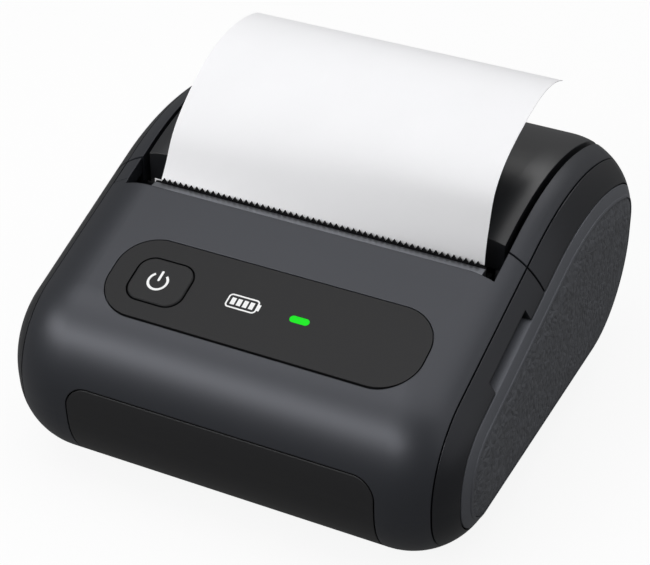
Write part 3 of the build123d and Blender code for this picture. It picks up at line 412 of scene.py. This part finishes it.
# Outline of a rounded rectangle: each corner's centre plus the corner's radius times cosine and
# sine of the angle, angle round it by place across the stroke.
def roundedLoop(u, v, width, height, radius, stroke, lift):
    angle = np.linspace(0, 2 * math.pi, markSteps["loop"], endpoint=False) + math.pi / markSteps["loop"]
    cornerU = np.sign(np.cos(angle)) * (width / 2 - radius)
    cornerV = np.sign(np.sin(angle)) * (height / 2 - radius)
    across = np.array([radius, radius - stroke])[None, :]
    loopU = u + cornerU[:, None] + across * np.cos(angle)[:, None]
    loopV = v + cornerV[:, None] + across * np.sin(angle)[:, None]
    return onSlope(loopU, loopV, np.full(loopU.shape, lift))


powerMark = {
    "centre": (-0.02362, -0.00045),
    "outerRadius": 0.00250,
    "stroke": 0.00058,
    "gap": 38,
    "lineLength": 0.00285,
    "lineMiddle": 0.00150,
    "lift": 0.00027,
}


def addPowerMark(look):
    u, v = powerMark["centre"]
    outer, stroke, lift = powerMark["outerRadius"], powerMark["stroke"], powerMark["lift"]
    ring = arcBand(u, v, outer - stroke, outer, 90 + powerMark["gap"], 450 - powerMark["gap"], lift)
    line = roundBar(u, v + powerMark["lineMiddle"], powerMark["lineLength"], stroke, lift)
    meshes = [gridMesh("powerRing", ring), gridMesh("powerLine", line)]
    printedMark("powerMark", meshes, look, "power_button")


batteryMark = {
    "centre": (-0.00315, 0.00020),
    "width": 0.00745,
    "height": 0.00370,
    "radius": 0.00095,
    "stroke": 0.00036,
    "barCount": 4,
    "barPitch": 0.00148,
    "barSize": (0.00102, 0.00182),
    "capSize": (0.00052, 0.00170),
    "lift": 0.00003,
}


def addBatteryMark(look):
    mark = batteryMark
    u, v = mark["centre"]
    loop = roundedLoop(u, v, mark["width"], mark["height"], mark["radius"], mark["stroke"], mark["lift"])
    meshes = [gridMesh("batteryOutline", loop, closed=True)]
    firstBar = u - (mark["barCount"] - 1) / 2 * mark["barPitch"]
    count = mark["barCount"]
    places = [(firstBar + number * mark["barPitch"], mark["barSize"]) for number in range(count)]
    places.append((u + mark["width"] / 2 + mark["capSize"][0] / 2, mark["capSize"]))
    for place, (width, height) in places:
        acrossU, acrossV = np.meshgrid([-width / 2, width / 2], [-height / 2, height / 2])
        corners = onSlope(place + acrossU, v + acrossV, np.full((2, 2), mark["lift"]))
        meshes.append(gridMesh("batteryBar", corners))
    printedMark("batteryMark", meshes, look, "case")


def direction(azimuth, elevation):
    a, e = math.radians(azimuth), math.radians(elevation)
    return Vector((math.sin(a) * math.cos(e), -math.cos(a) * math.cos(e), math.sin(e)))


camera = {
    "target": (0.0051, -0.0139, 0.0405),
    "azimuth": 26.34,
    "elevation": 34.07,
    "distance": 0.4528,
    "lens": 112.8,
    "sensorWidth": 36.0,
    "clip": (0.01, 20.0),
}


def placeCamera():
    data = bpy.data.cameras.new("camera")
    data.lens = camera["lens"]
    data.sensor_width = camera["sensorWidth"]
    data.clip_start, data.clip_end = camera["clip"]
    made = bpy.data.objects.new("camera", data)
    bpy.context.collection.objects.link(made)
    back = direction(camera["azimuth"], camera["elevation"])
    made.location = Vector(camera["target"]) + back * camera["distance"]
    made.rotation_mode = "QUATERNION"
    made.rotation_quaternion = (-back).to_track_quat("-Z", "Y")
    bpy.context.scene.camera = made


# Softboxes: where each stands round the printer, how far off, its size and its power.
lamps = {
    "overhead": {"azimuth": 110, "elevation": 86, "distance": 0.75, "size": (0.86, 0.95), "power": 2.95},
    "overLeft": {"azimuth": -72, "elevation": 60, "distance": 0.75, "size": (0.40, 0.30), "power": 0.62},
    "frontStrip": {"azimuth": -28, "elevation": 33, "distance": 0.75, "size": (0.95, 0.16), "power": 2.95},
    "backRight": {"azimuth": 176, "elevation": 43, "distance": 0.75, "size": (0.44, 0.26), "power": 0.7},
    "rightSoft": {"azimuth": 92, "elevation": 25, "distance": 0.90, "size": (1.10, 0.80), "power": 1.4},
}
lampTarget = (0.0, 0.0, 0.03)


def placeLamps():
    for name, lamp in lamps.items():
        data = bpy.data.lights.new(name, "AREA")
        data.shape = "RECTANGLE"
        data.size, data.size_y = lamp["size"]
        data.energy = lamp["power"]
        made = bpy.data.objects.new(name, data)
        bpy.context.collection.objects.link(made)
        back = direction(lamp["azimuth"], lamp["elevation"])
        made.location = Vector(lampTarget) + back * lamp["distance"]
        made.rotation_mode = "QUATERNION"
        made.rotation_quaternion = (-back).to_track_quat("-Z", "Y")


# The strength of the soft light from all round, and how much of the white backdrop shows in gloss.
world = {"strength": 0.17, "inGloss": 0.10}


# 1 for rays that see the backdrop itself, and a part of it in gloss.
def backdropShare(tree):
    path = addNode(tree, "ShaderNodeLightPath")
    gloss = addNode(
        tree,
        "ShaderNodeMath",
        {0: path.outputs["Is Glossy Ray"], 1: world["inGloss"]},
        operation="MULTIPLY",
    )
    through = addNode(
        tree,
        "ShaderNodeMath",
        {0: path.outputs["Is Camera Ray"], 1: path.outputs["Is Transmission Ray"]},
        operation="MAXIMUM",
    )
    both = {0: through.outputs[0], 1: gloss.outputs[0]}
    return addNode(tree, "ShaderNodeMath", both, operation="MAXIMUM").outputs[0]


def makeWorld():
    made = bpy.data.worlds.new("studio")
    bpy.context.scene.world = made
    made.use_nodes = True
    tree = made.node_tree
    tree.nodes.clear()
    out = addNode(tree, "ShaderNodeOutputWorld")
    soft = addNode(tree, "ShaderNodeBackground", {"Color": (1, 1, 1, 1), "Strength": world["strength"]})
    white = addNode(tree, "ShaderNodeBackground", {"Color": (1, 1, 1, 1), "Strength": 1.0})
    parts = {"Fac": backdropShare(tree), 1: soft.outputs[0], 2: white.outputs[0]}
    mix = addNode(tree, "ShaderNodeMixShader", parts)
    tree.links.new(mix.outputs[0], out.inputs["Surface"])


# The floor's colour to the camera and the colour of the light that it throws back, and the depth
# of the shadow that is kept on it.
floorLook = {"side": 3.0, "seenColour": "#f8f8f8", "bounceColour": "#686868", "shadowShare": 0.11}


def makeFloor():
    side = floorLook["side"]
    mesh = bpy.data.meshes.new("floor")
    corners = [(-side, -side, 0), (side, -side, 0), (side, side, 0), (-side, side, 0)]
    mesh.from_pydata(corners, [], [(0, 1, 2, 3)])
    floor = bpy.data.objects.new("floor", mesh)
    bpy.context.collection.objects.link(floor)
    made, tree, out, place = newMaterial("floor")
    shaded = addNode(tree, "ShaderNodeBsdfDiffuse", {"Color": linear(floorLook["seenColour"])})
    white = addNode(tree, "ShaderNodeEmission", {"Color": (1, 1, 1, 1), "Strength": 1.0})
    share = 1 - floorLook["shadowShare"]
    seen = addNode(tree, "ShaderNodeMixShader", {"Fac": share, 1: shaded.outputs[0], 2: white.outputs[0]})
    card = addNode(tree, "ShaderNodeBsdfDiffuse", {"Color": linear(floorLook["bounceColour"])})
    parts = {"Fac": backdropShare(tree), 1: card.outputs[0], 2: seen.outputs[0]}
    mix = addNode(tree, "ShaderNodeMixShader", parts)
    tree.links.new(mix.outputs[0], out.inputs["Surface"])
    mesh.materials.append(made)


bpy.context.scene.view_settings.view_transform = "Standard"
placeCamera()
makeWorld()
placeLamps()
makeFloor()
print("stage: studio")

materials = makeMaterials()
dressNodes(materials)
print("stage: materials")

addPowerMark(materials["screenInk"])
addBatteryMark(materials["screenInk"])
print("stage: printed marks")
